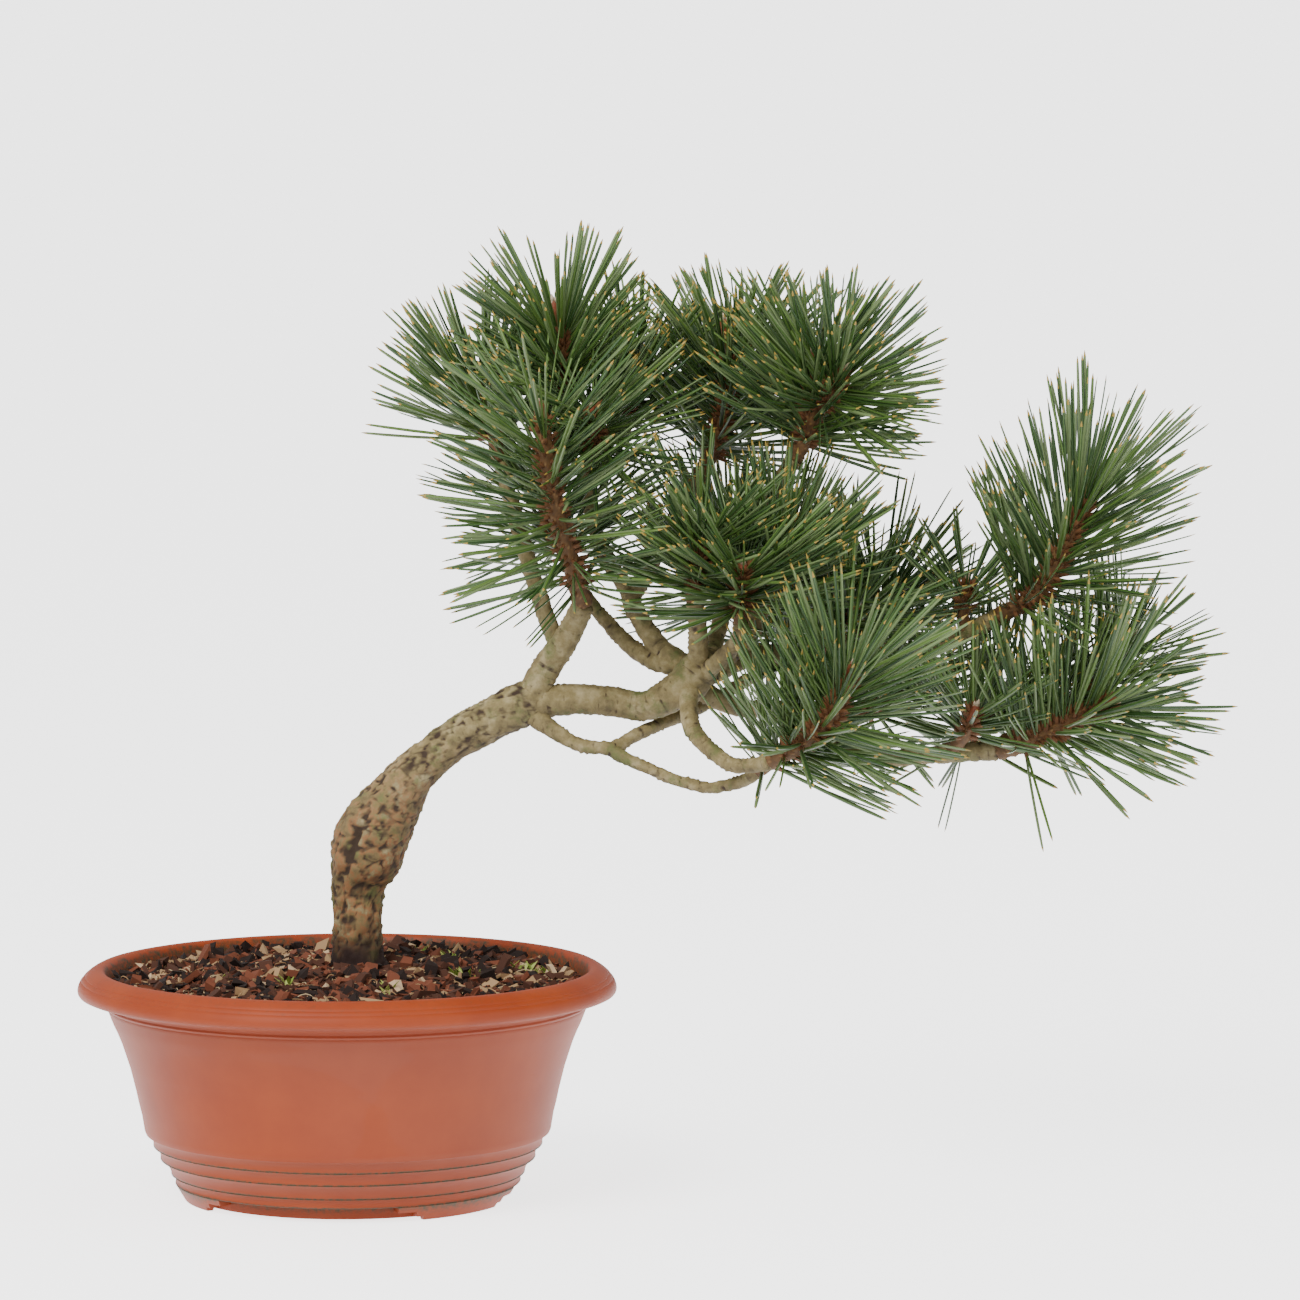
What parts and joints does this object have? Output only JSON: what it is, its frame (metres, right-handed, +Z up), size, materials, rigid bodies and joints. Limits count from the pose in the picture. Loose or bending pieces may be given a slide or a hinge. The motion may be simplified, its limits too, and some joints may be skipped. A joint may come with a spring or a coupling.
{
  "type": "potted bonsai pine",
  "caption": "Japanese black pine grown as a leaning bonsai, with swept boughs and tufts of stiff needles, in a soil-filled round terracotta-coloured plastic bowl with a rolled rim.",
  "frame": {"origin": "on the floor under the middle of the plant's whole bounding box, which is clear of the pot's own axis because the tree leans out over the rim", "axes": "+Z up, +X the way the tree leans, +Y to the back of the pictured view"},
  "size_m": [0.578, 0.2902, 0.478],
  "materials": {
    "pot": "satin",
    "soil": "matte",
    "bark": "matte",
    "needles": "satin"
  },
  "bodies": {
    "root": {"pot": "pot", "soil": "soil", "trunk": "bark", "bough_main": "bark", "bough_left": "bark", "branch_under": "bark", "bough_far_upper": "bark", "bough_far_lower": "bark", "branch_rise": "bark", "branch_top": "bark", "branch_crown_middle": "bark", "branch_crown_right": "bark", "branch_lower_left": "bark", "branch_lower_front": "bark", "branch_front_right": "bark", "branch_far_left": "bark", "branch_back_left": "bark", "branch_back_middle": "bark", "branch_under_front": "bark", "branch_under_back": "bark", "branch_top_back": "bark", "branch_back_low": "bark", "needles_front_left": "needles", "needles_front_right": "needles", "needles_top": "needles", "needles_left": "needles", "needles_crown_right": "needles", "needles_far_upper": "needles", "needles_far_lower": "needles", "needles_crown_middle": "needles", "needles_lower_left": "needles", "needles_lower_front": "needles", "needles_low_front": "needles", "needles_inner_left": "needles", "needles_centre": "needles", "needles_mid_right": "needles", "needles_top_back": "needles", "needles_far_side": "needles", "needles_far_back": "needles", "needles_mid_back": "needles", "needles_spur": "needles", "needles_low_spur": "needles", "needles_back_left": "needles", "needles_back_right": "needles", "needles_back_middle": "needles", "needles_back_low": "needles"}
  },
  "joints": []
}
